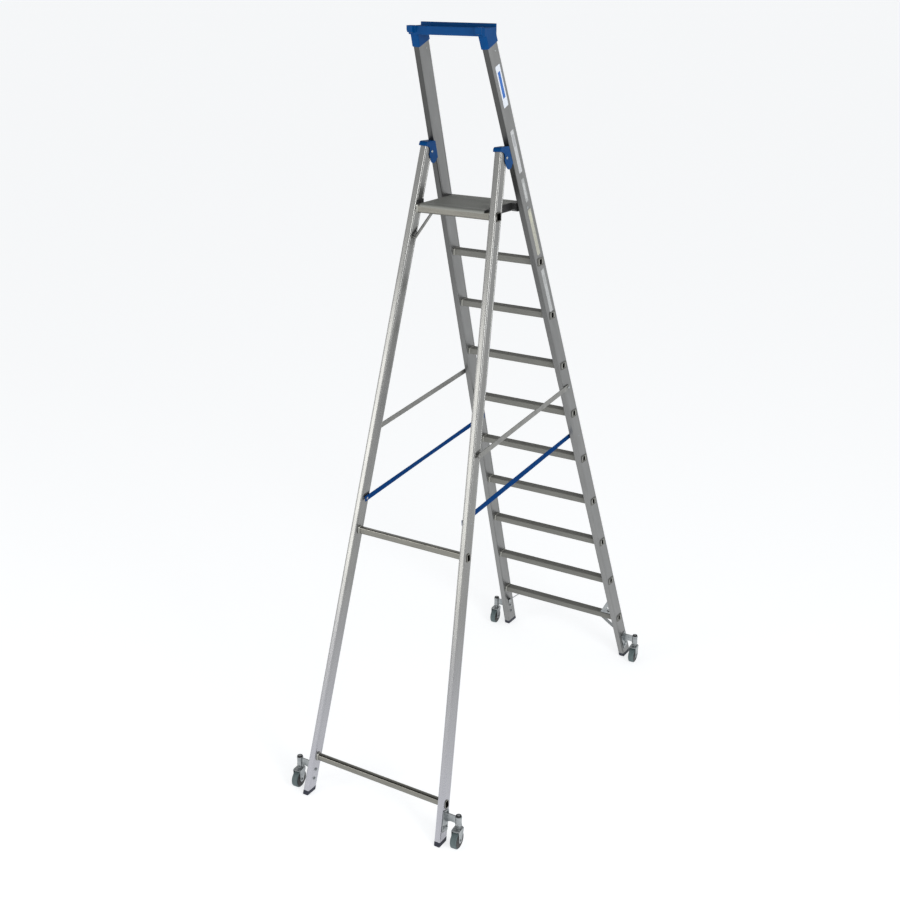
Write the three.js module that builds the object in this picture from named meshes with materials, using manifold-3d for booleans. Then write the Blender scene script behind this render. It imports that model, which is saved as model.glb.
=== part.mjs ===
// One-sided folding rung ladder with a standing platform, a top tool tray and four sprung castors.
// Millimetres, +Z up, floor at z = 0. The climbing side faces -Y, the support side +Y.
// "right" is +X: the right hand of a person who faces the ladder to climb it.
// Every y below counts from the foot of the climbing section. The finished group is moved back by
// MIDDLE_Y, so that its origin lies on the floor under the middle of the ladder.

import * as THREE from 'three';
import { mergeVertices } from 'three/addons/utils/BufferGeometryUtils.js';
import Module from 'manifold-3d';

const wasm = await Module();
wasm.setup();

// ---------------------------------------------------------------- driving dimensions

const MIDDLE_Y = 870;
const GAP = 0.35;                       // clearance between touching pieces
const TAPER = 0.0615;                   // narrowing of each side per millimetre of height
const WALL = 2.2;                       // wall of the extruded stiles

// Climbing section: stile centre line is y = tilt * z.
const FRONT = { half: 338.5, tilt: 0.387, y0: 0, width: 26, depth: 71 };
// Support section: stile centre line is y = y0 - tilt * z.
const REAR = { half: 333.2, tilt: -0.2627, y0: 1753.5, width: 26, depth: 53 };

const SOLE_Z = 3;                       // feet hang just clear while the castors carry the ladder
const FOOT_TOP = 21;
const FOOT_PLUG = 58;

const RUNG = { first: 243.5, rise: 235, count: 9, deep: 42, tall: 26.5, wall: 2.4, radius: 4 };

const PLATFORM = { top: 2370, front: 903, rear: 1162, half: 141, tall: 27, skin: 3.2 };
const PLATFORM_PIVOT = { y: 930, z: 2350 };
const STRUT_LOW = { y: 1165.4, z: 2238.8 };
const STRUT_HIGH = { y: 1011, z: 2336 };

const CROSSBARS = {
  crossbar_platform: { z: 2347, deep: 30, tall: 30 },
  crossbar_middle: { z: 1104, deep: 20, tall: 28 },
  crossbar_lower: { z: 160, deep: 22, tall: 31 },
};

const HINGE = { y: 1063, z: 2553, pin: 4, above: 26 };

const STAY_REAR = { y: 1360, z: 1483 };
const STAY_FRONT = { y: 605, z: 1551 };
const STAY = { wide: 22, thick: 3, stand: 7.0, pin: 3.5 };

const STRAP_REAR = { y: 1430, z: 1232 };
const STRAP_FRONT = { y: 505, z: 1304 };
const STRAP = { wide: 20, thick: 1.6 };

const CASTOR = { reach: 54, wheel: 37, trail: 15, turn: 4, tyre: 27, hub: 27.5, axle: 4 };
const CASTOR_Y = { front: 37, rear: 1722 };
const HOUSING = { bottom: 93, top: 134, radius: 13.5, bore: 9 };
const HOOD_Z = 79.5;

const TRAY = { front: 1118, rear: 1206, floor: 2984, rim: 3014, back: 3026 };

// ---------------------------------------------------------------- materials

const finish = (color, roughness, metalness) => ({ color, roughness, metalness });
const ALUMINIUM = finish(0xa9aaa8, 0.42, 0.85);
const RIBBED = finish(0x8b8b83, 0.55, 0.75);
const ZINC = finish(0xb6bdbf, 0.38, 0.9);
const BLUE = finish(0x0b4a94, 0.48, 0.0);
const WEBBING = finish(0x0e3f97, 0.85, 0.0);
const BLACK = finish(0x17181a, 0.6, 0.0);
const BOOT = finish(0x161c2c, 0.7, 0.0);
const RUBBER = finish(0x5f6d6e, 0.8, 0.0);
const RIM = finish(0xc9cccb, 0.5, 0.0);

// ---------------------------------------------------------------- solids

function toSolid(geometry) {
  const bare = geometry.index ? geometry.toNonIndexed() : geometry.clone();
  bare.deleteAttribute('normal');
  bare.deleteAttribute('uv');
  const merged = mergeVertices(bare, 1e-4);
  const mesh = new wasm.Mesh({
    numProp: 3,
    vertProperties: new Float32Array(merged.attributes.position.array),
    triVerts: new Uint32Array(merged.index.array),
  });
  return new wasm.Manifold(mesh);
}

function toGeometry(solid) {
  const mesh = solid.getMesh();
  const geometry = new THREE.BufferGeometry();
  geometry.setAttribute('position', new THREE.BufferAttribute(new Float32Array(mesh.vertProperties), 3));
  geometry.setIndex(new THREE.BufferAttribute(new Uint32Array(mesh.triVerts), 1));
  return geometry;
}

const join = (...geometries) => toGeometry(
  geometries.map(toSolid).reduce((all, one) => all.add(one)));

const cut = (base, ...tools) => toGeometry(
  tools.map(toSolid).reduce((rest, tool) => rest.subtract(tool), toSolid(base)));

const common = (a, b) => toGeometry(toSolid(a).intersect(toSolid(b)));

// A box from its lowest to its highest corner.
function block(x0, x1, y0, y1, z0, z1) {
  const box = new THREE.BoxGeometry(x1 - x0, y1 - y0, z1 - z0);
  return box.translate((x0 + x1) / 2, (y0 + y1) / 2, (z0 + z1) / 2);
}

function roundedRect(wide, tall, radius) {
  const x = wide / 2;
  const y = tall / 2;
  const shape = new THREE.Shape();
  shape.absarc(x - radius, -y + radius, radius, -Math.PI / 2, 0);
  shape.absarc(x - radius, y - radius, radius, 0, Math.PI / 2);
  shape.absarc(-x + radius, y - radius, radius, Math.PI / 2, Math.PI);
  shape.absarc(-x + radius, -y + radius, radius, Math.PI, 1.5 * Math.PI);
  return shape;
}

function disc(x, y, radius) {
  const shape = new THREE.Shape();
  shape.absarc(x, y, radius, 0, 2 * Math.PI);
  return shape;
}

// A flat bar with round ends from (x0, y0) to (x1, y1).
function capsule(x0, y0, x1, y1, radius) {
  const turn = Math.atan2(y1 - y0, x1 - x0);
  const shape = new THREE.Shape();
  shape.absarc(x1, y1, radius, turn - Math.PI / 2, turn + Math.PI / 2);
  shape.absarc(x0, y0, radius, turn + Math.PI / 2, turn + 1.5 * Math.PI);
  return shape;
}

function polygon(points) {
  return new THREE.Shape(points.map(([x, y]) => new THREE.Vector2(x, y)));
}

function extrude(shape, depth, segments = 3) {
  return new THREE.ExtrudeGeometry(shape, { depth, bevelEnabled: false, curveSegments: segments });
}

// Shapes drawn in the YZ plane and extruded along X from x0 to x1.
const TO_YZ = new THREE.Matrix4().makeBasis(
  new THREE.Vector3(0, 1, 0), new THREE.Vector3(0, 0, 1), new THREE.Vector3(1, 0, 0));

function extrudeYZ(shape, x0, x1, segments = 3) {
  return extrude(shape, x1 - x0, segments).applyMatrix4(TO_YZ).translate(x0, 0, 0);
}

// A turned piece on a line along X through (y, z): [x, radius] pairs, closed on the line.
function turnedX(profile, y, z, segments = 16) {
  const points = profile.map(([x, radius]) => new THREE.Vector2(radius, x));
  const lathe = new THREE.LatheGeometry(points, segments);
  return lathe.rotateZ(-Math.PI / 2).translate(0, y, z);
}

function mirrored(geometry) {
  const copy = geometry.clone().scale(-1, 1, 1);
  const flat = copy.index ? copy.toNonIndexed() : copy;
  const position = flat.attributes.position;
  for (let i = 0; i < position.count; i += 3) {
    for (const axis of ['X', 'Y', 'Z']) {
      const second = position[`get${axis}`](i + 1);
      position[`set${axis}`](i + 1, position[`get${axis}`](i + 2));
      position[`set${axis}`](i + 2, second);
    }
  }
  flat.deleteAttribute('normal');
  flat.deleteAttribute('uv');
  return flat;
}

// ---------------------------------------------------------------- where the frame is

const outerX = (section, z) => section.half - TAPER * z;
const innerX = (section, z) => outerX(section, z) - section.width * Math.hypot(1, TAPER);
const centreY = (section, z) => section.y0 + section.tilt * z;

// The right-hand stile's own axes: x across the width, y across the depth, z up the stile.
function stileMatrix(section) {
  const across = new THREE.Vector3(1, 0, TAPER).normalize();
  const up = new THREE.Vector3(-TAPER, section.tilt, 1).normalize();
  const deep = new THREE.Vector3().crossVectors(up, across);
  const matrix = new THREE.Matrix4().makeBasis(across, deep, up);
  const middle = section.half - (section.width / 2) * Math.hypot(1, TAPER);
  return matrix.setPosition(middle, section.y0, 0);
}

// Axes that lie in the outer face of the right-hand stiles: x outward, y along Y, origin at height z.
function faceMatrix(section, z) {
  const out = new THREE.Vector3(1, 0, TAPER).normalize();
  const along = new THREE.Vector3(0, 1, 0);
  const up = new THREE.Vector3().crossVectors(out, along);
  const matrix = new THREE.Matrix4().makeBasis(out, along, up);
  return matrix.setPosition(outerX(section, z), 0, z);
}

// A rounded bar along a stile from length s0 to s1, wider than the stile by grow on every side.
function stileBar(section, grow, s0, s1, radius, segments = 2) {
  const shape = roundedRect(section.width + 2 * grow, section.depth + 2 * grow, radius);
  return extrude(shape, s1 - s0, segments).translate(0, 0, s0).applyMatrix4(stileMatrix(section));
}

const slab = (z0, z1) => block(-900, 900, -900, 2600, z0, z1);

// ---------------------------------------------------------------- pieces

const meshes = [];

function add(name, geometry, look) {
  const flat = geometry.index ? geometry.toNonIndexed() : geometry;
  flat.computeVertexNormals();
  const mesh = new THREE.Mesh(flat, new THREE.MeshStandardMaterial(look));
  mesh.name = name;
  meshes.push(mesh);
}

function addPair(name, geometry, look) {
  add(`${name}_right`, geometry, look);
  add(`${name}_left`, mirrored(geometry), look);
}

// A rung or crossbar: a tube through both stiles with beads inside and flared ends outside.
function tubeAcross(section, z, deep, tall, wall, radius) {
  const y = centreY(section, z);
  const profile = (grow, r) => roundedRect(deep + 2 * grow, tall + 2 * grow, r);
  const end = outerX(section, z) + 1.4;
  const body = extrudeYZ(profile(0, radius), -end, end, 1).translate(0, y, z);
  const hollow = extrudeYZ(profile(-wall, radius - 1), -end - 9, end + 9, 1).translate(0, y, z);
  const ring = (x0, x1, grow) => {
    const shape = profile(grow, radius + grow);
    const geometry = extrudeYZ(shape, x0, x1, 1).translate(0, y, 0);
    return geometry.applyMatrix4(faceMatrix(section, z));
  };
  const flare = ring(GAP, 2.6, 3);
  const bead = ring(-section.width - GAP - 4, -section.width - GAP, 1.6);
  const solid = [flare, bead, mirrored(flare), mirrored(bead)].map(toSolid)
    .reduce((all, one) => all.add(one), toSolid(body));
  return toGeometry(solid.subtract(toSolid(hollow)));
}

// The opening in a stile that a tube passes through.
function tubeHole(section, z, deep, tall, radius) {
  const shape = roundedRect(deep + 2 * GAP, tall + 2 * GAP, radius + GAP);
  return extrudeYZ(shape, 0, 600, 1).translate(0, centreY(section, z), z);
}

function stile(section, s1, holes) {
  const outside = stileBar(section, 0, -20, s1, 3);
  const inside = stileBar(section, -WALL, -40, s1 + 40, 1.2, 1);
  const solid = holes.map(toSolid).reduce(
    (rest, hole) => rest.subtract(hole), toSolid(outside).subtract(toSolid(inside)));
  return toGeometry(solid.subtract(toSolid(slab(-200, FOOT_TOP + GAP))));
}

function foot(section) {
  const pad = common(stileBar(section, 0, -40, 120, 3), slab(SOLE_Z, FOOT_TOP));
  const plug = common(stileBar(section, -WALL - 0.6, -40, 160, 1.2, 1), slab(FOOT_TOP - 2, FOOT_PLUG));
  return join(pad, plug);
}

// Climbing section

const frontTop = 3204.5;
const rungHeights = Array.from({ length: RUNG.count }, (_, i) => RUNG.first + i * RUNG.rise);
const frontHoles = rungHeights.map((z) => tubeHole(FRONT, z, RUNG.deep, RUNG.tall, RUNG.radius));
addPair('front_stile', stile(FRONT, frontTop, frontHoles), ALUMINIUM);
rungHeights.forEach((z, i) => {
  add(`rung_${i + 1}`, tubeAcross(FRONT, z, RUNG.deep, RUNG.tall, RUNG.wall, RUNG.radius), RIBBED);
});
addPair('front_foot', foot(FRONT), BOOT);

// Flat braces under the lowest rung

function rungBrace() {
  const z = RUNG.first;
  const under = z - RUNG.tall / 2 - GAP;
  const wall = innerX(FRONT, z - 96) - GAP;
  const bar = polygon([
    [wall - 96, under], [wall - 96, under - 3], [wall - 80, under - 3], [wall - 3, under - 74],
    [wall - 1.8, under - 96], [wall + 0.6, under - 96], [wall - 0.9, under - 72],
    [wall - 78, under],
  ]);
  const wide = 22;
  const upright = new THREE.Matrix4().makeRotationX(Math.PI / 2);
  const plate = extrude(bar, wide).applyMatrix4(upright);
  const lean = new THREE.Matrix4().makeShear(0, 0, 0, 0, 0, FRONT.tilt);
  plate.translate(0, wide / 2, -z).applyMatrix4(lean).translate(0, centreY(FRONT, z), z);
  return plate;
}
addPair('rung_brace', rungBrace(), ZINC);

// Bracket above the lowest rung that keeps the left front corner square

function cornerBracket() {
  const z = RUNG.first;
  const inside = innerX(FRONT, z) - 5;
  const low = z + RUNG.tall / 2 + GAP;
  const outline = new THREE.Shape([
    [inside - 62, low], [inside, low], [inside - 8.5, low + 84], [inside - 14, low + 84],
  ].map(([x, y]) => new THREE.Vector2(x, y)));
  outline.holes.push(disc(inside - 17, low + 17, 7), disc(inside - 17, low + 38, 5));
  const thick = 4;
  const upright = new THREE.Matrix4().makeRotationX(Math.PI / 2);
  const plate = extrude(outline, thick, 4).applyMatrix4(upright);
  const lean = new THREE.Matrix4().makeShear(0, 0, 0, 0, 0, FRONT.tilt);
  plate.translate(0, thick + 9, -z).applyMatrix4(lean).translate(0, centreY(FRONT, z), z);
  return plate;
}
add('corner_bracket_left', mirrored(cornerBracket()), ZINC);

// Top tray

function tray() {
  const wall = 3.2;
  const edge = outerX(FRONT, TRAY.floor) + wall;
  const cap = common(stileBar(FRONT, wall, 3171, 3300, 5), slab(2900, TRAY.rim));
  const shell = block(-edge, edge, TRAY.front, TRAY.rear, TRAY.floor, TRAY.rim);
  const backWall = block(-edge, edge, TRAY.front, TRAY.front + 6, TRAY.rim - 6, TRAY.back);
  const lug = extrude(polygon([
    [TRAY.rear - 4, TRAY.rim - 26], [TRAY.rear + 16, TRAY.rim - 22], [TRAY.rear + 20, TRAY.rim - 14],
    [TRAY.rear + 20, TRAY.rim + 2], [TRAY.rear + 10, TRAY.rim + 2], [TRAY.rear + 7, TRAY.rim - 7],
    [TRAY.rear + 4, TRAY.rim + 2], [TRAY.rear - 4, TRAY.rim + 2],
  ]), 24).applyMatrix4(TO_YZ).translate(edge - 28, 0, 0);
  const body = join(shell, backWall, cap, mirrored(cap), lug, mirrored(lug));
  const pocket = stileBar(FRONT, GAP, 3100, frontTop + GAP, 3);
  const bowl = block(-116, 116, TRAY.front + 6, TRAY.rear - 5, TRAY.floor + 4, TRAY.back + 20);
  const ends = block(122, edge - 4, TRAY.front + 6, TRAY.rear - 5, TRAY.rim - 8, TRAY.back + 20);
  return cut(body, pocket, mirrored(pocket), bowl, ends, mirrored(ends));
}
add('top_tray', tray(), BLUE);

// Hinges: a moulding on the back of each front stile, and the pin that the rear stile turns on

const rearShift = outerX(FRONT, HINGE.z) - outerX(REAR, HINGE.z);
const CHEEK = 2;
// The rear stile needs this much room on each side, because its taper tilts as it folds.
const PLAY = 1.5;
const hingeHole = () => extrudeYZ(disc(HINGE.y, HINGE.z, HINGE.pin + GAP), 100, 250, 12);

function hingeBracket() {
  // Drawn from the pin: u towards the rear, v up.
  const rearUp = Math.atan(-REAR.tilt);
  const rear = (m, t) => [
    m * Math.cos(rearUp) - t * Math.sin(rearUp), m * Math.sin(rearUp) + t * Math.cos(rearUp)];
  const frontUp = Math.atan(FRONT.tilt);
  const front = (n, s) => [
    n * Math.cos(frontUp) + s * Math.sin(frontUp), -n * Math.sin(frontUp) + s * Math.cos(frontUp)];
  const pinToFace = 69 - FRONT.depth / 2 - GAP;
  const crown = [
    rear(50.8, 14.5), rear(50.8, 22), rear(48.5, 28.5), rear(43, 32.5), rear(36, 34), front(-32.5, 31),
  ];
  const lobe = new THREE.Shape();
  lobe.absarc(...front(-8, -25), 24, Math.PI - frontUp, 2 * Math.PI - frontUp);
  lobe.lineTo(...front(18, -2));
  lobe.quadraticCurveTo(...rear(12, 14), ...rear(27, 14.5));
  crown.forEach((corner) => lobe.lineTo(...corner));
  lobe.lineTo(...front(-pinToFace, 27));
  const outside = -rearShift + PLAY;
  const inside = -rearShift - REAR.width - PLAY;
  const cheeks = [
    extrudeYZ(lobe, outside, outside + CHEEK, 5),
    extrudeYZ(lobe, inside - CHEEK, inside, 5),
  ];
  const hood = extrudeYZ(polygon([
    rear(48.7, 14.5), ...crown, front(-32.5, 26), rear(38, 27), rear(48.7, 20),
  ]), inside - 1, outside + 1);
  const web = extrudeYZ(polygon([
    front(-pinToFace, -40), front(-pinToFace + 6, -40), front(-pinToFace + 6, 26),
    front(-32.5, 31), front(-pinToFace, 27),
  ]), inside - CHEEK, outside + CHEEK);
  const body = join(...cheeks, hood, web);
  body.translate(0, HINGE.y, 0).applyMatrix4(faceMatrix(FRONT, HINGE.z));
  return cut(body, hingeHole());
}
addPair('hinge_bracket', hingeBracket(), BLUE);

// Both pins lie along X, on the one line that the support section turns on.
function hingePin() {
  const middle = outerX(REAR, HINGE.z) - REAR.width / 2;
  const reach = REAR.width / 2 + PLAY + CHEEK + 2 * GAP;
  const shank = HINGE.pin;
  return turnedX([
    [middle - reach - 2, 0], [middle - reach - 2, 4], [middle - reach, 6],
    [middle - reach, shank], [middle + reach, shank], [middle + reach, 6],
    [middle + reach + 2, 4], [middle + reach + 2, 0],
  ], HINGE.y, HINGE.z, 16);
}
addPair('hinge_pin', hingePin(), ZINC);

// Support section

const rearTop = ((HINGE.z + HINGE.above) - 6) * Math.hypot(1, REAR.tilt, TAPER);
const crossHole = ({ z, deep, tall }) => tubeHole(REAR, z, deep, tall, 4);

function rearStile() {
  const holes = Object.values(CROSSBARS).map(crossHole);
  return stile(REAR, rearTop, [...holes, hingeHole()]);
}
addPair('rear_stile', rearStile(), ALUMINIUM);
Object.entries(CROSSBARS).forEach(([name, bar]) => {
  add(name, tubeAcross(REAR, bar.z, bar.deep, bar.tall, 2, 4), ALUMINIUM);
});
addPair('rear_foot', foot(REAR), BOOT);

// Platform: one ribbed extrusion on black end caps that turn on the front stiles

function platformPlate() {
  const { top, front, rear, skin, tall } = PLATFORM;
  const rib = (y) => [
    [y + 2.4, top - skin], [y + 2.4, top - tall], [y, top - tall], [y, top - skin],
  ];
  const ribs = [1096, 1050, 1000, 950].flatMap(rib);
  const outline = polygon([
    [front, top - tall], [front, top - 4], [front + 4, top], [rear - 5, top], [rear, top - 5],
    [rear, top - 11], [rear - 2.6, top - 11], [rear - 2.6, top - 6], [rear - 5, top - skin],
    ...ribs, [front + 3, top - skin], [front + 3, top - tall],
  ]);
  return extrudeYZ(outline, -PLATFORM.half, PLATFORM.half);
}
add('platform_plate', platformPlate(), RIBBED);

function platformCap() {
  const { y, z } = PLATFORM_PIVOT;
  const inside = PLATFORM.half + GAP;
  const outside = innerX(FRONT, z + 20) - GAP - 1;
  const cheek = extrudeYZ(polygon([
    [y - 26, z - 8], [y - 12, z - 15], [y + 12, z - 15], [y + 34, z - 4],
    [y + 34, PLATFORM.top], [y - 22, PLATFORM.top], [y - 26, PLATFORM.top - 5],
  ]), inside, outside);
  const back = PLATFORM.rear - 2;
  const top = PLATFORM.top - 0.6;
  // The end cover is open underneath where the platform rests on its crossbar.
  const notch = CROSSBARS.crossbar_platform.z + CROSSBARS.crossbar_platform.tall / 2 + 1.2;
  const cover = extrudeYZ(polygon([
    [y, z - 12], [back - 62, z - 10], [back - 46, notch], [back, notch], [back, top - 4],
    [back - 3, top], [y, top],
  ]), inside, inside + 2.6);
  return join(cheek, cover);
}
addPair('platform_cap', platformCap(), BLACK);

// Strut that lifts the platform as the ladder folds, on the right only

function platformStrut() {
  const low = STRUT_LOW;
  const high = STRUT_HIGH;
  const inside = innerX(REAR, low.z) - GAP;
  const bar = extrudeYZ(capsule(low.y, low.z, high.y, high.z, 6.2), 157, 161, 5);
  const boss = turnedX([[159, 0], [159, 6], [inside, 6], [inside, 0]], low.y, low.z, 12);
  const heads = [[low, 155.2, 158], [high, 159, 163]].map(([at, x0, x1]) => (
    turnedX([[x0, 0], [x0, 4.4], [x1, 4.4], [x1, 0]], at.y, at.z, 12)));
  return join(bar, boss, ...heads);
}
add('platform_strut_right', platformStrut(), ZINC);

// Grey stays on the outside: riveted to the rear stiles, hooked on studs in the front stiles

const STAY_LENGTH = Math.hypot(STAY_FRONT.y - STAY_REAR.y, STAY_FRONT.z - STAY_REAR.z);

function stay() {
  const rise = Math.atan2(STAY_FRONT.z - STAY_REAR.z, STAY_REAR.y - STAY_FRONT.y);
  // Drawn from the rear rivet at the origin to the hook at -x, z outward, then turned into place.
  const hook = -STAY_LENGTH;
  const bar = extrude(capsule(0, 0, hook - 1, 0, STAY.wide / 2), STAY.thick, 5);
  const slot = capsule(hook, 0, hook + 8, -18, STAY.pin + 1.0);
  const hooked = cut(bar, extrude(slot, 40, 4).translate(0, 0, -20));
  const spacer = new THREE.CylinderGeometry(7, 7, STAY.stand - GAP + 0.5, 14)
    .rotateX(Math.PI / 2).translate(0, 0, -(STAY.stand - GAP - 0.5) / 2);
  const head = new THREE.CylinderGeometry(4, 6, 3, 14).rotateX(Math.PI / 2)
    .translate(0, 0, STAY.thick + 1);
  const turn = new THREE.Matrix4().makeBasis(
    new THREE.Vector3(0, Math.cos(rise), -Math.sin(rise)),
    new THREE.Vector3(0, Math.sin(rise), Math.cos(rise)),
    new THREE.Vector3(1, 0, 0));
  const placed = join(hooked, spacer, head).applyMatrix4(turn);
  placed.translate(STAY.stand, STAY_REAR.y, 0);
  return placed.applyMatrix4(faceMatrix(REAR, STAY_REAR.z));
}
addPair('stay', stay(), ZINC);

function stayStud() {
  const bar = outerX(REAR, STAY_FRONT.z) + STAY.stand - outerX(FRONT, STAY_FRONT.z);
  const stud = turnedX([
    [GAP, 0], [GAP, 7], [bar - GAP - 0.3, 7], [bar - GAP - 0.3, STAY.pin],
    [bar + STAY.thick + GAP + 0.3, STAY.pin], [bar + STAY.thick + GAP + 0.3, 6.5],
    [bar + STAY.thick + 3, 6], [bar + STAY.thick + 3, 0],
  ], STAY_FRONT.y, 0, 14);
  return stud.applyMatrix4(faceMatrix(FRONT, STAY_FRONT.z));
}
addPair('stay_stud', stayStud(), ZINC);

// Woven safety straps on the inside

function strap() {
  const length = Math.hypot(STRAP_FRONT.y - STRAP_REAR.y, STRAP_FRONT.z - STRAP_REAR.z);
  const rise = Math.atan2(STRAP_FRONT.z - STRAP_REAR.z, STRAP_FRONT.y - STRAP_REAR.y);
  const ends = [STRAP_FRONT, STRAP_REAR].map(({ z }) => innerX(REAR, z));
  const x = Math.min(...ends) - 2.6;
  const band = extrudeYZ(roundedRect(length + 30, STRAP.wide, 2), x - STRAP.thick, x, 2);
  band.rotateX(rise + Math.PI);
  const middle = [(STRAP_FRONT.y + STRAP_REAR.y) / 2, (STRAP_FRONT.z + STRAP_REAR.z) / 2];
  return band.translate(0, ...middle);
}
addPair('safety_strap', strap(), WEBBING);

// Castors

function castorBracket(section, y) {
  const x = castorX(section);
  const z = (HOUSING.bottom + HOUSING.top) / 2;
  const tube = new THREE.CylinderGeometry(
    HOUSING.radius, HOUSING.radius, HOUSING.top - HOUSING.bottom, 20);
  tube.rotateX(Math.PI / 2).translate(x, y, z);
  const face = outerX(section, z);
  const arm = block(face + 1.5, x - 4, y - 3, y + 3, HOUSING.bottom + 6, HOUSING.top - 2);
  const lean = -Math.atan(section.tilt);
  const low = z - 18;
  const plate = extrudeYZ(roundedRect(40, 88, 5), GAP, 4, 2).rotateX(lean)
    .translate(0, centreY(section, low), 0).applyMatrix4(faceMatrix(section, low));
  const bore = new THREE.CylinderGeometry(HOUSING.bore, HOUSING.bore, 90, 16);
  bore.rotateX(Math.PI / 2).translate(x, y, z);
  return cut(join(tube, arm, plate), bore);
}

function castorX(section) {
  return outerX(section, CASTOR.wheel) + CASTOR.reach;
}

function turnedZ(profile, segments) {
  const points = profile.map(([radius, z]) => new THREE.Vector2(radius, z));
  return new THREE.LatheGeometry(points, segments).rotateX(Math.PI / 2);
}

// The sprung stem slides in the housing; its cap rests on the housing while the wheel hangs.
function castorStem() {
  const shank = HOUSING.bore - 0.6;
  return turnedZ([
    [0, HOOD_Z + 3 + GAP], [11, HOOD_Z + 3 + GAP], [11, HOOD_Z + 5], [shank, HOOD_Z + 6],
    [shank, HOUSING.top + GAP], [11.6, HOUSING.top + GAP], [11.6, HOUSING.top + 4],
    [8, HOUSING.top + 6.5], [0, HOUSING.top + 6.5],
  ], 16);
}

// The fork turns under the stem. Drawn with the wheel trailing along +Y, its axle along X.
function castorFork() {
  const inner = CASTOR.tyre / 2 + 1.6;
  const outer = inner + 2.6;
  const top = HOOD_Z + 3;
  const hood = extrude(roundedRect(2 * outer, 52, 12), 3, 3).translate(0, 8, HOOD_Z);
  const { trail, wheel } = CASTOR;
  const leg = polygon([
    [-10, top - 1.5], [-13, top - 10], [trail - 14.5, wheel + 4], [trail - 13.5, wheel - 7],
    [trail - 7, wheel - 13.5], [trail + 7, wheel - 13.5], [trail + 13.5, wheel - 7],
    [trail + 15, wheel + 4], [30, top - 10], [28, top - 1.5],
  ]);
  const legs = [[inner, outer], [-outer, -inner]].map(([x0, x1]) => extrudeYZ(leg, x0, x1));
  const axle = turnedX([
    [-outer - 3.5, 0], [-outer - 3.5, 6], [-outer + 0.5, 6], [-outer + 0.5, CASTOR.axle],
    [outer - 0.5, CASTOR.axle], [outer - 0.5, 6], [outer + 3.5, 6], [outer + 3.5, 0],
  ], trail, wheel, 12);
  return join(hood, ...legs, axle);
}

// A turned ring on the axle line: [x, radius] pairs around a closed section, the bore side last.
function wheelRing(profile) {
  return turnedX([...profile, profile[0]], CASTOR.trail, CASTOR.wheel, 24);
}

function castorTyre() {
  const half = CASTOR.tyre / 2;
  const top = CASTOR.wheel;
  const seat = CASTOR.hub + GAP;
  return wheelRing([
    [-half, seat], [-half, top - 5], [-half + 5, top], [half - 5, top],
    [half, top - 5], [half, seat],
  ]);
}

function castorHub() {
  const half = CASTOR.tyre / 2 - 0.4;
  const bore = CASTOR.axle + 0.5;
  return wheelRing([
    [-half, bore], [-half, 10], [-half + 4, 10], [-half, CASTOR.hub - 3],
    [-half, CASTOR.hub], [half, CASTOR.hub], [half, CASTOR.hub - 3],
    [half - 4, 10], [half, 10], [half, bore],
  ]);
}

for (const [end, section] of [['front', FRONT], ['rear', REAR]]) {
  const y = CASTOR_Y[end];
  addPair(`castor_bracket_${end}`, castorBracket(section, y), ZINC);
  for (const [side, sign] of [['right', 1], ['left', -1]]) {
    const place = (geometry) => geometry.rotateZ(THREE.MathUtils.degToRad(CASTOR.turn))
      .translate(sign * castorX(section), y, 0);
    add(`castor_stem_${end}_${side}`, place(castorStem()), ZINC);
    add(`castor_fork_${end}_${side}`, place(castorFork()), ZINC);
    add(`castor_tyre_${end}_${side}`, place(castorTyre()), RUBBER);
    add(`castor_hub_${end}_${side}`, place(castorHub()), RIM);
  }
}

const ladder = new THREE.Group();
ladder.name = 'rolling_platform_ladder';
ladder.add(...meshes);
ladder.position.y = -MIDDLE_Y;

export default ladder;
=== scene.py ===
"""A folding rung ladder on sprung castors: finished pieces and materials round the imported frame.

Helpers take millimetres in the row frame (+Z up, floor at z = 0, climbing side at -Y).
"right" is +X, the right hand of a person who faces the ladder to climb it.
"""

import math

import bmesh
import bpy
import numpy as np
from mathutils import Matrix, Vector


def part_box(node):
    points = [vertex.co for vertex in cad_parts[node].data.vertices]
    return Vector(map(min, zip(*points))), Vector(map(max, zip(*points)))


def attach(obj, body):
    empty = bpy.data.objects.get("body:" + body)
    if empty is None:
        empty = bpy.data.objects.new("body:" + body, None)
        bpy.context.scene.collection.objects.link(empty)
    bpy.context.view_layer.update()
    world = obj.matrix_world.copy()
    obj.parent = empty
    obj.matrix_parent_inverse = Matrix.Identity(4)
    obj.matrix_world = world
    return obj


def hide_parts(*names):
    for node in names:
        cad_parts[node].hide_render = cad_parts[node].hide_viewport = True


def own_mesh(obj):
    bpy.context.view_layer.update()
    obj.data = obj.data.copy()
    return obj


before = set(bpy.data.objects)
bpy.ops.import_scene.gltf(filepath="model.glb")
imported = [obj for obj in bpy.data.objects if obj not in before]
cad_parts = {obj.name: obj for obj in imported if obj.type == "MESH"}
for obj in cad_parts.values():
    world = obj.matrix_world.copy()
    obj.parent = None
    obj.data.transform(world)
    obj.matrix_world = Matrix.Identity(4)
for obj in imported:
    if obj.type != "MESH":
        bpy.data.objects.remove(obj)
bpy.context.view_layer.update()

# ---------------------------------------------------------------- driving dimensions

MM = 0.001
SIDES = {"right": 1, "left": -1}

# Clearance between neighbours. TAPER is how far a stile's face comes in for each mm of height, and
# LEAN is how much wider a stile therefore measures along X than across itself.
GAP = 0.35
TAPER = 0.0615
LEAN = math.hypot(1, TAPER)

# The row frame's y is this much less than a depth measured from the ladder's front.
MIDDLE_Y = 870

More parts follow.
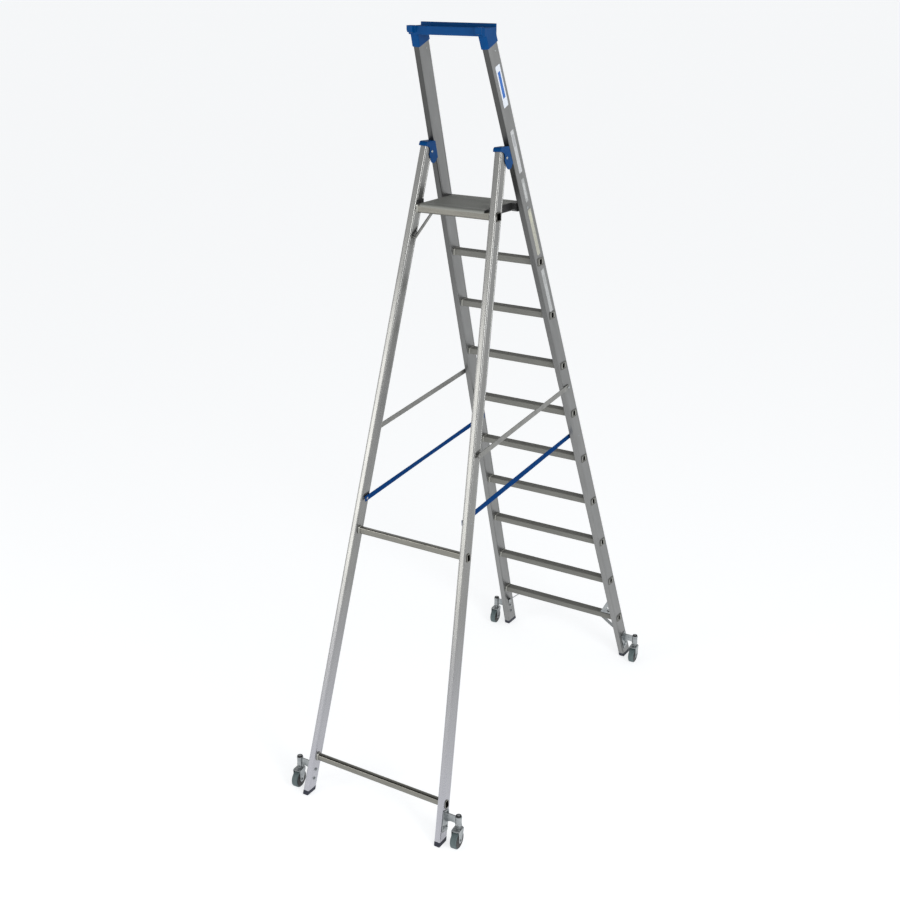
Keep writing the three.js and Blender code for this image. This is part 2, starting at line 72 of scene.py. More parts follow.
# A stile's centre line is y = y0 + tilt * z. Its outer face is at x = half - TAPER * z.
FRONT = {"half": 338.5, "tilt": 0.387, "y0": -MIDDLE_Y, "width": 26, "depth": 71}
REAR = {"half": 333.2, "tilt": -0.2627, "y0": 1753.5 - MIDDLE_Y, "width": 26, "depth": 53}
FRONT_TOP = 3204.5
FOOT_TOP = 21
PROFILE = {"wall": 2.2, "corner": 4.6, "groove": 0.7, "channel": 0.6}

RUNG = {"first": 243.5, "rise": 235, "count": 9, "deep": 42, "tall": 26.5, "wall": 2.4, "radius": 4}
CROSSBARS = {
    "crossbar_platform": {"z": 2347, "deep": 30, "tall": 30, "wall": 2, "radius": 4, "shade": 0.5},
    "crossbar_middle": {"z": 1104, "deep": 20, "tall": 28, "wall": 2, "radius": 5, "shade": 1.0},
    "crossbar_lower": {"z": 160, "deep": 22, "tall": 31, "wall": 2, "radius": 9, "shade": 1.0},
}
PLATFORM = {"top": 2370, "front": 903 - MIDDLE_Y, "rear": 1162 - MIDDLE_Y, "half": 141, "tall": 27}
HINGE = {"z": 2553, "above": 26}
STRAP = {
    "rear": (1430 - MIDDLE_Y, 1232), "front": (505 - MIDDLE_Y, 1304),
    "wide": 23, "thick": 1.5, "stand": 3.4,
}

# Wheel radius, trail behind the swivel line, tyre width, hub radius; then the fork round it.
CASTOR = {"wheel": 37, "trail": 15, "turn": math.radians(4), "tyre": 27, "hub": 27.5}
FORK = {"inner": CASTOR["tyre"] / 2 + 1.6, "sheet": 2.6, "hood": 79.5, "hood_sheet": 3, "end": 12}
HOUSING = {"bottom": 93, "top": 134, "radius": 13.5, "bore": 9}
PLATE = {"wide": 40, "tall": 88, "corner": 6, "thick": 3.6}

# Fasteners on the stiles: mm behind the centre line and height, or height alone on that line.
TRAY_RIVET = (-10, 2934)
PLATFORM_PIVOT = (8, 2350)
BRACE_RIVET = 147
STRUT_PIVOT = 2238.8
PLATE_BOLTS = {"front": (78, 117), "rear": (64, 103)}

# The camera's place in metres, its direction in degrees, and its lens in millimetres.
CAMERA = {
    "at": (-2.4822, 5.2687 - MIDDLE_Y * MM, 3.2022),
    "azimuth": 211.156, "elevation": -20.641, "roll": 0.276, "lens": 50.98,
}


def outer_x(section, z):
    return section["half"] - TAPER * z


def inner_x(section, z):
    return outer_x(section, z) - section["width"] * LEAN


def centre_y(section, z):
    return section["y0"] + section["tilt"] * z


def stile_axes(section):
    """The right-hand stile's own axes: x across the width, y across the depth, z up the stile."""
    across = Vector((1, 0, TAPER)).normalized()
    up = Vector((-TAPER, section["tilt"], 1)).normalized()
    deep = up.cross(across)
    middle = section["half"] - section["width"] / 2 * LEAN
    return placed(across, deep, up, (middle, section["y0"], 0))


def face_axes(section, y, z, inside=False):
    """Axes on a face of the right-hand stile: x out of the face, y to the rear, z up the face."""
    sign = -1 if inside else 1
    out = Vector((sign, 0, sign * TAPER)).normalized()
    rear = Vector((0, 1, 0))
    x = inner_x(section, z) if inside else outer_x(section, z)
    return placed(out, rear, out.cross(rear), (x, y, z))


def placed(x, y, z, at):
    matrix = Matrix((x, y, z)).transposed().to_4x4()
    matrix.translation = Vector(at)
    return matrix


# Axes of a bar that runs along X: its section's x is the row's y, and its y is the row's z.
ALONG_X = placed(Vector((0, 1, 0)), Vector((0, 0, 1)), Vector((1, 0, 0)), (0, 0, 0))

# Turns axes so that their z points where their x did.
X_TO_Z = Matrix.Rotation(math.pi / 2, 4, "Y")


def bar_axes(section, bar, shift=0.0):
    """Axes along a rung or crossbar, from a point shift mm right of its middle."""
    return Matrix.Translation((shift, centre_y(section, bar["z"]), bar["z"])) @ ALONG_X


# ---------------------------------------------------------------- mesh work


def mesh_from(points, faces):
    mesh = bpy.data.meshes.new("shape")
    mesh.from_pydata([Vector(p) * MM for p in points], [], faces)
    mesh.validate()
    return mesh


def loft(rings, closed=False):
    """A skin through rings of points, capped at both ends or closed from the last to the first."""
    count = len(rings[0])
    points = [p for ring in rings for p in ring]
    last = len(rings) if closed else len(rings) - 1
    faces = []
    for a in range(last):
        b = (a + 1) % len(rings)
        for i in range(count):
            j = (i + 1) % count
            faces.append((a * count + i, a * count + j, b * count + j, b * count + i))
    if not closed:
        faces.append(tuple(range(count - 1, -1, -1)))
        faces.append(tuple((len(rings) - 1) * count + i for i in range(count)))
    return mesh_from(points, faces)


def prism(outline, axes, low, high):
    """An outline of (x, y) points pushed from z = low to z = high of axes."""
    rings = [[axes @ Vector((x, y, z)) for x, y in outline] for z in (low, high)]
    return outward(loft(rings))


def turned(profile, axes, steps=48):
    """(radius, height) pairs turned about the z of axes. They start and end on it, or make a ring."""
    on_axis = profile[0][0] == 0
    rings = []
    for k in range(steps):
        a = 2 * math.pi * k / steps
        rings.append([axes @ Vector((r * math.cos(a), r * math.sin(a), h)) for r, h in profile])
    mesh = loft(rings, closed=True)
    if on_axis:
        drop_axis_faces(mesh)
    return outward(mesh)


def drop_axis_faces(mesh):
    """Drops the faces without area that join a turned profile's two ends along its axis."""
    work = bmesh.new()
    work.from_mesh(mesh)
    bmesh.ops.remove_doubles(work, verts=work.verts, dist=1e-6)
    bmesh.ops.dissolve_degenerate(work, dist=1e-7, edges=work.edges)
    work.to_mesh(mesh)
    work.free()


def outward(mesh):
    work = bmesh.new()
    work.from_mesh(mesh)
    bmesh.ops.remove_doubles(work, verts=work.verts, dist=1e-6)
    bmesh.ops.recalc_face_normals(work, faces=work.faces)
    work.to_mesh(mesh)
    work.free()
    return mesh


def joined(*meshes):
    work = bmesh.new()
    for mesh in meshes:
        work.from_mesh(mesh)
    whole = bpy.data.meshes.new("shape")
    work.to_mesh(whole)
    work.free()
    return whole


def mirrored(mesh):
    """The left-hand copy of a right-hand mesh."""
    copy = mesh.copy()
    copy.transform(Matrix.Scale(-1, 4, Vector((1, 0, 0))))
    copy.flip_normals()
    return copy


def worked(mesh, *steps):
    """The mesh after a list of (modifier kind, settings)."""
    base = bpy.data.objects.new("work", mesh)
    bpy.context.scene.collection.objects.link(base)
    for kind, settings in steps:
        modifier = base.modifiers.new("step", kind)
        for key, value in settings.items():
            setattr(modifier, key, value)
    bpy.context.view_layer.update()
    finished = base.evaluated_get(bpy.context.evaluated_depsgraph_get())
    result = bpy.data.meshes.new_from_object(finished)
    bpy.data.objects.remove(base)
    return result


def cut(mesh, *tools):
    """The mesh less each of the tool meshes."""
    solids = []
    for tool in tools:
        solid = bpy.data.objects.new("tool", tool)
        bpy.context.scene.collection.objects.link(solid)
        solids.append(solid)
    how = {"operation": "DIFFERENCE", "solver": "EXACT"}
    result = worked(mesh, *[("BOOLEAN", {**how, "object": solid}) for solid in solids])
    for solid in solids:
        bpy.data.objects.remove(solid)
    return result


def bevelled(mesh, width, segments=3, angle=28):
    """Rounded edges wherever two faces meet at more than angle degrees."""
    return worked(mesh, ("BEVEL", {
        "width": width * MM, "segments": segments, "limit_method": "ANGLE",
        "angle_limit": math.radians(angle), "use_clamp_overlap": True,
        "miter_outer": "MITER_ARC",
    }))


def from_cad(node):
    """A clean copy of a CAD node's mesh: welded, with its flat faces whole."""
    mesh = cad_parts[node].data.copy()
    mesh.materials.clear()
    work = bmesh.new()
    work.from_mesh(mesh)
    bmesh.ops.remove_doubles(work, verts=work.verts, dist=2e-5)
    bmesh.ops.dissolve_limit(
        work, angle_limit=math.radians(0.8), verts=work.verts, edges=work.edges)
    bmesh.ops.recalc_face_normals(work, faces=work.faces)
    clean = bpy.data.meshes.new("shape")
    work.to_mesh(clean)
    work.free()
    return clean


def moulded(mesh, voxel, rounds):
    """Softens a solid as a moulding: every edge and inner corner gets a small radius."""
    return worked(
        mesh,
        ("REMESH", {"mode": "VOXEL", "voxel_size": voxel * MM, "use_smooth_shade": True}),
        ("SMOOTH", {"factor": 0.5, "iterations": rounds}),
    )


def set_grain(mesh, axes=None):
    """Stores where each point lies in axes: x and y across the grain, z along it, in metres."""
    inverse = (axes or Matrix.Identity(4)).inverted()
    values = [c for v in mesh.vertices for c in inverse @ (v.co / MM) * MM]
    layer = mesh.attributes.get("grain") or mesh.attributes.new("grain", "FLOAT_VECTOR", "POINT")
    layer.data.foreach_set("vector", values)


def show(name, mesh, body, look, replaces=(), smooth=38, grain=None):
    """Puts a finished mesh into the scene, on its body, with its material."""
    if not mesh.attributes.get("grain"):
        set_grain(mesh, grain)
    mesh.shade_smooth()
    mesh.set_sharp_from_angle(angle=math.radians(smooth))
    mesh = worked(mesh, ("WEIGHTED_NORMAL", {"keep_sharp": True, "weight": 80}))
    mesh.materials.clear()
    mesh.materials.append(look.material)
    piece = bpy.data.objects.new(name, mesh)
    bpy.context.scene.collection.objects.link(piece)
    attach(piece, body)
    if replaces:
        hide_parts(*replaces)
    return piece


def show_pair(name, mesh, body, look, replaces="", **options):
    """The same piece at both sides. body and replaces may hold {} for the side's name."""
    set_grain(mesh, options.pop("grain", None))
    for side, sign in SIDES.items():
        own = mesh.copy() if sign > 0 else mirrored(mesh)
        nodes = [replaces.format(side)] if replaces else []
        show(f"{name}_{side}", own, body.format(side), look, nodes, **options)


def dress(name, node, body, look, width, segments=2, angle=50, **options):
    """A CAD node's own shape with rounded edges and a finished material, in the node's place."""
    show(name, bevelled(from_cad(node), width, segments, angle), body, look, [node], **options)


# ---------------------------------------------------------------- materials


class Look:
    """One procedural material, and the record's material slot that it belongs to."""

    def __init__(self, name, slot, roughness, metallic=0.0, **sockets):
        self.slot = slot
        self.material = bpy.data.materials.new(name)
        self.material.use_nodes = True
        self.nodes = self.material.node_tree.nodes
        self.links = self.material.node_tree.links
        self.shader = self.nodes["Principled BSDF"]
        self.shader.inputs["Roughness"].default_value = roughness
        self.shader.inputs["Metallic"].default_value = metallic
        for key, value in sockets.items():
            self.shader.inputs[key.replace("_", " ")].default_value = value

    def node(self, kind, inputs, **settings):
        node = self.nodes.new(kind)
        for key, value in settings.items():
            setattr(node, key, value)
        for key, value in inputs.items():
            if isinstance(value, bpy.types.NodeSocket):
                self.links.new(value, node.inputs[key])
            else:
                node.inputs[key].default_value = value
        return node

    def grain(self, scale, turn=(0, 0, 0)):
        where = self.node("ShaderNodeAttribute", {}, attribute_name="grain")
        mapped = self.node("ShaderNodeMapping", {
            "Vector": where.outputs["Vector"], "Scale": scale, "Rotation": turn})
        return mapped.outputs["Vector"]

    def noise(self, scale, detail=3.0, roughness=0.5, turn=(0, 0, 0)):
        found = self.node("ShaderNodeTexNoise", {
            "Vector": self.grain(scale, turn), "Scale": 1.0, "Detail": detail,
            "Roughness": roughness})
        return found.outputs["Fac"]

    def spread(self, value, low, high, to_low, to_high):
        """Maps low..high of a value to to_low..to_high."""
        return self.node("ShaderNodeMapRange", {
            "Value": value, "From Min": low, "From Max": high,
            "To Min": to_low, "To Max": to_high}).outputs["Result"]

    def math(self, operation, a, b):
        return self.node("ShaderNodeMath", {0: a, 1: b}, operation=operation).outputs[0]

    def mixed(self, share, first, second):
        mix = self.node("ShaderNodeMix", {}, data_type="RGBA")
        for key, value in ((0, share), (6, first), (7, second)):
            if isinstance(value, bpy.types.NodeSocket):
                self.links.new(value, mix.inputs[key])
            else:
                mix.inputs[key].default_value = (*value, 1) if key else value
        return mix.outputs[2]

    def color(self, socket):
        self.links.new(socket, self.shader.inputs["Base Color"])

    def rough(self, socket):
        self.links.new(socket, self.shader.inputs["Roughness"])

    def bump(self, height, distance, strength=1.0):
        bump = self.node("ShaderNodeBump", {
            "Height": height, "Distance": distance, "Strength": strength})
        self.links.new(bump.outputs["Normal"], self.shader.inputs["Normal"])


def extruded_aluminium(
        name, slot, pale, dark, roughness, metallic=0.9, back=None, bright=None, bore=None):
    """Drawn lines along the profile, cloudy oxide, faint handling scratches.

    back is where the narrow rear face starts: painted shade towards its top, painted light below.
    bright is a paler colour painted on the lower end as painted light from the floor. bore is the
    half width and height of a tube's inside, which is darkened as painted shade.
    """
    look = Look(name, slot, roughness, metallic)
    place = look.node("ShaderNodeSeparateXYZ", {"Vector": look.grain((1, 1, 1))}).outputs
    lines = look.noise((700, 700, 0.3), 2)
    cloud = look.noise((14, 14, 5), 4, 0.6)
    scratch = look.spread(look.noise((60, 60, 700), 2, 0.7, (0.5, 0.35, 0)), 0.68, 0.78, 0, 1)
    rub = look.spread(look.noise((26, 26, 9), 6, 0.7), 0.55, 0.75, 0, 1)
    base = look.mixed(look.spread(cloud, 0.3, 0.7, 0, 1), pale, dark)
    # Painted floor light: the lower end is mixed towards the paler colour bright.
    if bright:
        base = look.mixed(look.spread(place["Z"], 0.05, 0.95, 0.85, 0), base, bright)
    lined = look.mixed(look.spread(lines, 0.35, 0.65, 0, 0.2), base, dark)
    worn = look.mixed(look.math("MULTIPLY", scratch, 0.15), lined, [min(1, c * 1.35) for c in pale])
    # Painted shade on the narrow rear face, growing towards the top, and painted light on its lower
    # part.
    if back:
        rear = look.spread(place["Y"], back, back + 0.001, 0, 1)
        share = look.math("MULTIPLY", rear, look.spread(place["Z"], 1.5, 2.9, 0.1, 1))
        worn = look.mixed(share, worn, [c * 0.4 for c in dark])
        share = look.math("MULTIPLY", rear, look.spread(place["Z"], 0.5, 2.1, 0.6, 0))
        worn = look.mixed(share, worn, [min(1, c * 1.15) for c in pale])
    # Painted shade: a tube's inside is made nearly black, as if unlit.
    if bore:
        wide = look.math("LESS_THAN", look.math("ABSOLUTE", place["X"], 0.0), bore[0])
        tall = look.math("LESS_THAN", look.math("ABSOLUTE", place["Y"], 0.0), bore[1])
        worn = look.mixed(look.math("MULTIPLY", wide, tall), worn, [c * 0.12 for c in dark])
    look.color(worn)
    drawn = look.spread(lines, 0.3, 0.7, -0.02, 0.02)
    shine = look.math("ADD", drawn, look.math("MULTIPLY", rub, 0.03))
    look.rough(look.math("ADD", shine, roughness))
    look.bump(look.math("ADD", lines, look.math("MULTIPLY", scratch, 0.3)), 0.000004, 0.2)
    return look


def zinc_plate(name, slot, pale, dark, roughness=0.34):
    """Bright plating with a fine spangle and dull patches."""
    look = Look(name, slot, roughness, 0.92)
    cells = look.node(
        "ShaderNodeTexVoronoi", {"Vector": look.grain((260, 260, 260)), "Scale": 1.0})
    cloud = look.noise((45, 45, 45), 5, 0.65)
    tint = look.mixed(look.spread(cloud, 0.35, 0.7, 0, 1), pale, dark)
    spangle = look.mixed(look.spread(cells.outputs["Distance"], 0.1, 0.7, 0, 0.35), tint, dark)
    look.color(spangle)
    look.rough(look.spread(cloud, 0.3, 0.75, roughness - 0.08, roughness + 0.14))
    look.bump(look.noise((700, 700, 700), 3), 0.00005, 0.5)
    return look


def moulded_plastic(name, slot, base, light, roughness, grain_size=900, depth=0.00006, **sockets):
    """A fine moulded grain with slightly paler rubbed patches."""
    look = Look(name, slot, roughness, 0.0, **sockets)
    grain = look.noise((grain_size,) * 3, 3, 0.6)
    cloud = look.noise((35, 35, 35), 5, 0.65)
    look.color(look.mixed(look.spread(cloud, 0.45, 0.8, 0, 0.55), base, light))
    look.rough(look.math("ADD", look.spread(grain, 0.3, 0.7, -0.05, 0.07), roughness))
    look.bump(grain, depth, 0.6)
    return look


def woven_webbing(name, slot, base, light):
    """Woven ribs across and along a flat strap, with fuzz."""
    look = Look(name, slot, 0.8, 0.0, Specular_IOR_Level=0.05)
    ribs = look.node("ShaderNodeTexWave", {
        "Vector": look.grain((0, 0, 1)), "Scale": 130.0, "Distortion": 0.6, "Detail": 1.0},
        bands_direction="Z")
    warp = look.node("ShaderNodeTexWave", {
        "Vector": look.grain((0, 1, 0)), "Scale": 190.0, "Distortion": 0.4, "Detail": 1.0},
        bands_direction="Y")
    weave = look.math("MULTIPLY", ribs.outputs["Fac"], warp.outputs["Fac"])
    fuzz = look.noise((600, 600, 250), 4, 0.7)
    look.color(look.mixed(look.math("MULTIPLY", weave, 0.7), base, light))
    look.rough(look.spread(fuzz, 0.3, 0.7, 0.7, 0.9))
    look.bump(look.math("ADD", weave, look.math("MULTIPLY", fuzz, 0.35)), 0.00035, 0.8)
    return look


def wheel_rubber(name, slot, base, dust, roughness):
    """Elastic rubber, scuffed and dusty in patches."""
    look = Look(name, slot, roughness, 0.0)
    scuff = look.noise((90, 90, 90), 6, 0.7)
    fine = look.noise((800, 800, 800), 3, 0.6)
    dusty = look.spread(scuff, 0.45, 0.72, 0, 0.8)
    patch = look.math("MULTIPLY", dusty, look.spread(fine, 0.3, 0.7, 0.5, 1))
    look.color(look.mixed(patch, base, dust))
    look.rough(look.spread(scuff, 0.3, 0.7, roughness - 0.08, roughness + 0.1))
    look.bump(look.math("ADD", fine, scuff), 0.00012, 0.6)
    return look


def sticker(name, slot, base, ink, field, speckle):
    """A pale label with one plain field of a second colour and a fine worn speckle."""
    look = Look(name, slot, 0.45, 0.0, Specular_IOR_Level=0.2)
    place = look.node("ShaderNodeSeparateXYZ", {"Vector": look.grain((1, 1, 1))}).outputs
    low, high, half = field
    above = look.math("GREATER_THAN", place["Z"], low)
    tall = look.math("MULTIPLY", above, look.math("LESS_THAN", place["Z"], high))
    wide = look.math("LESS_THAN", look.math("ABSOLUTE", place["X"], 0.0), half)
    wear = look.noise((300, 300, 220), 5, 0.75)
    spots = look.spread(wear, 0.48, 0.6, 0, speckle)
    tint = look.mixed(look.math("MULTIPLY", tall, wide), base, ink)
    look.color(look.mixed(spots, tint, [c * 0.6 for c in base]))
    look.bump(wear, 0.00003, 0.4)
    return look


def painted_shade_bore_of(bar):
    """Half the width and height of a tube's inside, in metres, for the painted shade in its bore."""
    return (bar["deep"] / 2 * MM - 0.0012, bar["tall"] / 2 * MM - 0.0012)


# From back on, the climbing stiles' narrow rear faces get painted shade near the top and painted
# light lower down.
STILE = extruded_aluminium(
    "stile_aluminium", "aluminium", (0.25, 0.252, 0.25), (0.2, 0.202, 0.2), 0.36, back=0.0338)
# Through bright, the support stiles' lower ends get painted light from the floor.
REAR_STILE = extruded_aluminium(
    "rear_stile_aluminium", "aluminium", (0.27, 0.27, 0.26), (0.225, 0.225, 0.22), 0.26,
    bright=(0.5, 0.5, 0.55))
# Through bore, the rung tubes' insides get painted shade.
TREAD = extruded_aluminium(
    "tread_aluminium", "ribbed_aluminium", (0.2, 0.2, 0.185), (0.16, 0.16, 0.148), 0.7,
    metallic=0.5, bore=painted_shade_bore_of(RUNG))
DECK = extruded_aluminium(
    "deck_aluminium", "ribbed_aluminium", (0.27, 0.275, 0.255), (0.21, 0.215, 0.2), 0.6,
    metallic=0.6)
COLLAR = extruded_aluminium(
    "collar_aluminium", "aluminium", (0.34, 0.34, 0.31), (0.26, 0.26, 0.24), 0.34)
BAR_PALE = (0.26, 0.255, 0.23)
BAR_DARK = (0.2, 0.195, 0.175)
ZINC = zinc_plate("zinc_plate", "zinc_steel", (0.44, 0.46, 0.465), (0.27, 0.29, 0.30))
STAY_ZINC = zinc_plate("stay_zinc", "zinc_steel", (0.3, 0.3, 0.285), (0.23, 0.23, 0.22), 0.4)
BLUE = moulded_plastic(
    "blue_moulding", "blue_plastic", (0.0, 0.045, 0.165), (0.001, 0.06, 0.215), 0.42,
    Specular_IOR_Level=0.08)
BLACK = moulded_plastic(
    "black_moulding", "black_plastic", (0.008, 0.008, 0.008), (0.02, 0.02, 0.021), 0.5)
BOOT = moulded_plastic(
    "boot_rubber", "boot", (0.005, 0.008, 0.022), (0.016, 0.02, 0.036), 0.62, 500, 0.0002)
TYRE = wheel_rubber("tyre_rubber", "tyre", (0.07, 0.1, 0.105), (0.15, 0.18, 0.18), 0.66)
RIM = moulded_plastic("wheel_plastic", "wheel_hub", (0.42, 0.44, 0.45), (0.3, 0.31, 0.32), 0.45)
WEBBING = woven_webbing("strap_webbing", "webbing", (0.0, 0.03, 0.13), (0.002, 0.06, 0.24))
STITCH = moulded_plastic(
    "strap_stitching", "webbing", (0.008, 0.06, 0.26), (0.02, 0.1, 0.34), 0.8, 1500)

# ---------------------------------------------------------------- stiles


def arc(x, y, radius, start, steps):
    """A quarter turn of points round (x, y), from start degrees on."""
    turns = [math.radians(start + 90 * k / steps) for k in range(steps + 1)]
    return [(x + radius * math.cos(a), y + radius * math.sin(a)) for a in turns]


def stile_outline(width, depth, radius, groove, channel):
    """A box profile with two grooves on each broad face and a shallow channel on each narrow one."""
    x = width / 2
    y = depth / 2
    line = y - 9
    lip = x - 7
    side = []
    for at in (-line, line):
        side += [(x, at - 1.0), (x - groove, at - 0.4), (x - groove, at + 0.4), (x, at + 1.0)]
    flange = [(lip + 0.9, y), (lip, y - channel), (-lip, y - channel), (-lip - 0.9, y)]
    points = arc(x - radius, -y + radius, radius, -90, 5) + side
    points += arc(x - radius, y - radius, radius, 0, 5) + flange
    points += arc(-x + radius, y - radius, radius, 90, 5) + [(-a, -b) for a, b in side]
    points += arc(-x + radius, -y + radius, radius, 180, 5) + [(-a, -b) for a, b in flange]
    return points


def rounded(wide, tall, radius, steps=5):
    x = wide / 2 - radius
    y = tall / 2 - radius
    corners = ((x, -y, -90), (x, y, 0), (-x, y, 90), (-x, -y, 180))
    return [p for cx, cy, start in corners for p in arc(cx, cy, radius, start, steps)]


def tube_cutter(section, bar):
    """The opening that a rung or crossbar needs through the right-hand stile."""
    outline = rounded(bar["deep"] + 2 * GAP, bar["tall"] + 2 * GAP, bar["radius"] + GAP)
    return prism(outline, bar_axes(section, bar), 40, 600)


def stile(section, top, bars):
    """A hollow extrusion from the foot to its top, with an opening for each bar."""
    axes = stile_axes(section)
    up = axes.to_3x3() @ Vector((0, 0, 1))
    size = (section["width"], section["depth"])
    outside = stile_outline(*size, PROFILE["corner"], PROFILE["groove"], PROFILE["channel"])
    inside = stile_outline(*size, PROFILE["corner"], 0.0, 0.0)
    shrink, narrow = [1 - 2 * PROFILE["wall"] / full for full in size]
    rings = []
    for outline, sx, sy in ((outside, 1, 1), (inside, shrink, narrow)):
        low = []
        high = []
        for x, y in outline:
            point = axes @ Vector((x * sx, y * sy, 0))
            low.append(point + up * ((FOOT_TOP + GAP - point.z) / up.z))
            high.append(point + up * top)
        rings.append((low, high))
    (outer_low, outer_high), (inner_low, inner_high) = rings
    shell = outward(loft([outer_low, outer_high, inner_high, inner_low], closed=True))
    return cut(shell, *[tube_cutter(section, bar) for bar in bars])


RUNGS = [{**RUNG, "z": RUNG["first"] + i * RUNG["rise"]} for i in range(RUNG["count"])]
REAR_TOP = (HINGE["z"] + HINGE["above"] - 6) * math.hypot(1, REAR["tilt"], TAPER)

show_pair(
    "climbing_stile", stile(FRONT, FRONT_TOP, RUNGS), "climbing_frame", STILE,
    "front_stile_{}", grain=stile_axes(FRONT))
show_pair(
    "support_stile", stile(REAR, REAR_TOP, CROSSBARS.values()), "support_frame", REAR_STILE,
    "rear_stile_{}", grain=stile_axes(REAR))

# ---------------------------------------------------------------- rungs and crossbars


def bar_outline(bar, grow, ribs):
    """A rounded bar section in (y, z), with grip ribs along its top as deep as ribs."""
    wide = bar["deep"] + 2 * grow
    tall = bar["tall"] + 2 * grow
    radius = max(bar["radius"] + grow, 1.0)
    x = wide / 2 - radius
    y = tall / 2 - radius
    count = 6
    pitch = 2 * x / count
    top = []
    for k in range(count):
        start = x - k * pitch
        for share, drop in ((0.05, 0), (0.35, 0), (0.5, ribs), (0.85, ribs)):
            top.append((start - share * pitch, tall / 2 - drop))
    points = arc(x, -y, radius, -90, 5) + arc(x, y, radius, 0, 5) + top
    return points + arc(-x, y, radius, 90, 5) + arc(-x, -y, radius, 180, 5)


def bar_ring(section, bar, side, out, grow, ribs=0.0):
    """The bar's section, sheared to lie out mm outside a stile's outer face."""
    y = centre_y(section, bar["z"])
    points = bar_outline(bar, grow, ribs)
    return [
        (side * (outer_x(section, bar["z"] + b) + out), y + a, bar["z"] + b) for a, b in points]


def through_bar(section, bar, ribs):
    """An open tube through both stiles, with a rolled lip outside each of them."""

    def ring(side, out, grow, ribs=0.0):
        return bar_ring(section, bar, side, out, grow, ribs)

    back = -section["width"] * LEAN
    wall = -bar["wall"]
    steps = [
        (2.2, wall + 0.4), (2.9, 0.2), (3.0, 1.6), (2.5, 2.7), (1.4, 3.0), (0.45, 2.6),
        (GAP, 0.0), (back - 8, 0.0)]
    outside = [ring(-1, out, grow) for out, grow in steps]
    outside.append(ring(-1, back - 9, 0, ribs))
    outside.append(ring(1, back - 9, 0, ribs))
    outside += [ring(1, out, grow) for out, grow in reversed(steps)]
    inside = [ring(1, -2, wall), ring(-1, -2, wall)]
    return outward(loft(outside + inside, closed=True))


def collar(section, bar, grow):
    """The bead that the tube is pressed into on the inner side of the right-hand stile."""
    back = -section["width"] * LEAN - GAP
    steps = [
        (0, 0.05), (0, grow - 0.5), (-0.5, grow), (-2.0, grow), (-3.4, grow * 0.62),
        (-4.6, grow * 0.55), (-5.6, grow * 0.25), (-6.4, 0.05)]
    rings = [bar_ring(section, bar, 1, back + out, size) for out, size in steps]
    return outward(loft(rings, closed=True))


def mouth(section, bar, hole):
    """A bright pressed plate in the outer end of the tube, with a narrower hole in its middle."""
    y = centre_y(section, bar["z"])

    def ring(wide, tall, radius, out):
        return [
            (outer_x(section, bar["z"] + b) + out, y + a, bar["z"] + b)
            for a, b in rounded(wide, tall, radius)]

    deep = bar["deep"] - 2 * bar["wall"] - 0.1
    tall = bar["tall"] - 2 * bar["wall"] - 0.1
    rings = [
        ring(deep, tall, 1.5, 0.6), ring(deep, tall, 1.5, 2.3), ring(hole + 2, tall - 1, 4, 2.3),
        ring(hole, tall - 2, 4, 1.6), ring(hole, tall - 2, 4, 0.6)]
    return outward(loft(rings, closed=True))


for number, rung in enumerate(RUNGS, 1):
    shape = through_bar(FRONT, rung, 0.5)
    grain = bar_axes(FRONT, rung, number * 130.0)
    show(f"rung_tube_{number}", shape, "climbing_frame", TREAD, [f"rung_{number}"], grain=grain)
    show_pair(f"rung_collar_{number}", collar(FRONT, rung, 2.6), "climbing_frame", COLLAR)
    show_pair(f"rung_mouth_{number}", mouth(FRONT, rung, 20), "climbing_frame", COLLAR)

for name, bar in CROSSBARS.items():
    pale = [c * bar["shade"] for c in BAR_PALE]
    dark = [c * bar["shade"] for c in BAR_DARK]
    # Through bore, each crossbar tube's inside gets painted shade.
    look = extruded_aluminium(
        f"{name}_aluminium", "aluminium", pale, dark, 0.34, bore=painted_shade_bore_of(bar))
    shape = through_bar(REAR, bar, 0.0)
    show(f"{name}_tube", shape, "support_frame", look, [name], grain=bar_axes(REAR, bar))
    show_pair(f"{name}_collar", collar(REAR, bar, 3.8), "support_frame", COLLAR)

# ---------------------------------------------------------------- feet, braces, bracket

for end, body in (("front", "climbing_frame"), ("rear", "support_frame")):
    for side in SIDES:
        dress(f"{end}_boot_{side}", f"{end}_foot_{side}", body, BOOT, 3.0, 4, 40, smooth=50)

for side in SIDES:
    dress(f"brace_strip_{side}", f"rung_brace_{side}", "climbing_frame", ZINC, 0.7)
dress("corner_plate_left", "corner_bracket_left", "climbing_frame", ZINC, 0.8)

# ---------------------------------------------------------------- tray and hinges

tray = moulded(from_cad("top_tray"), 1.2, 6)
show("tool_tray", tray, "climbing_frame", BLUE, ["top_tray"], smooth=180)
for side in SIDES:
    dress(
        f"hinge_moulding_{side}", f"hinge_bracket_{side}", "climbing_frame", BLUE, 0.6, 2, 35,
        smooth=40)
    dress(f"hinge_rivet_{side}", f"hinge_pin_{side}", "climbing_frame", ZINC, 0.5, 2, 40)

# ---------------------------------------------------------------- platform


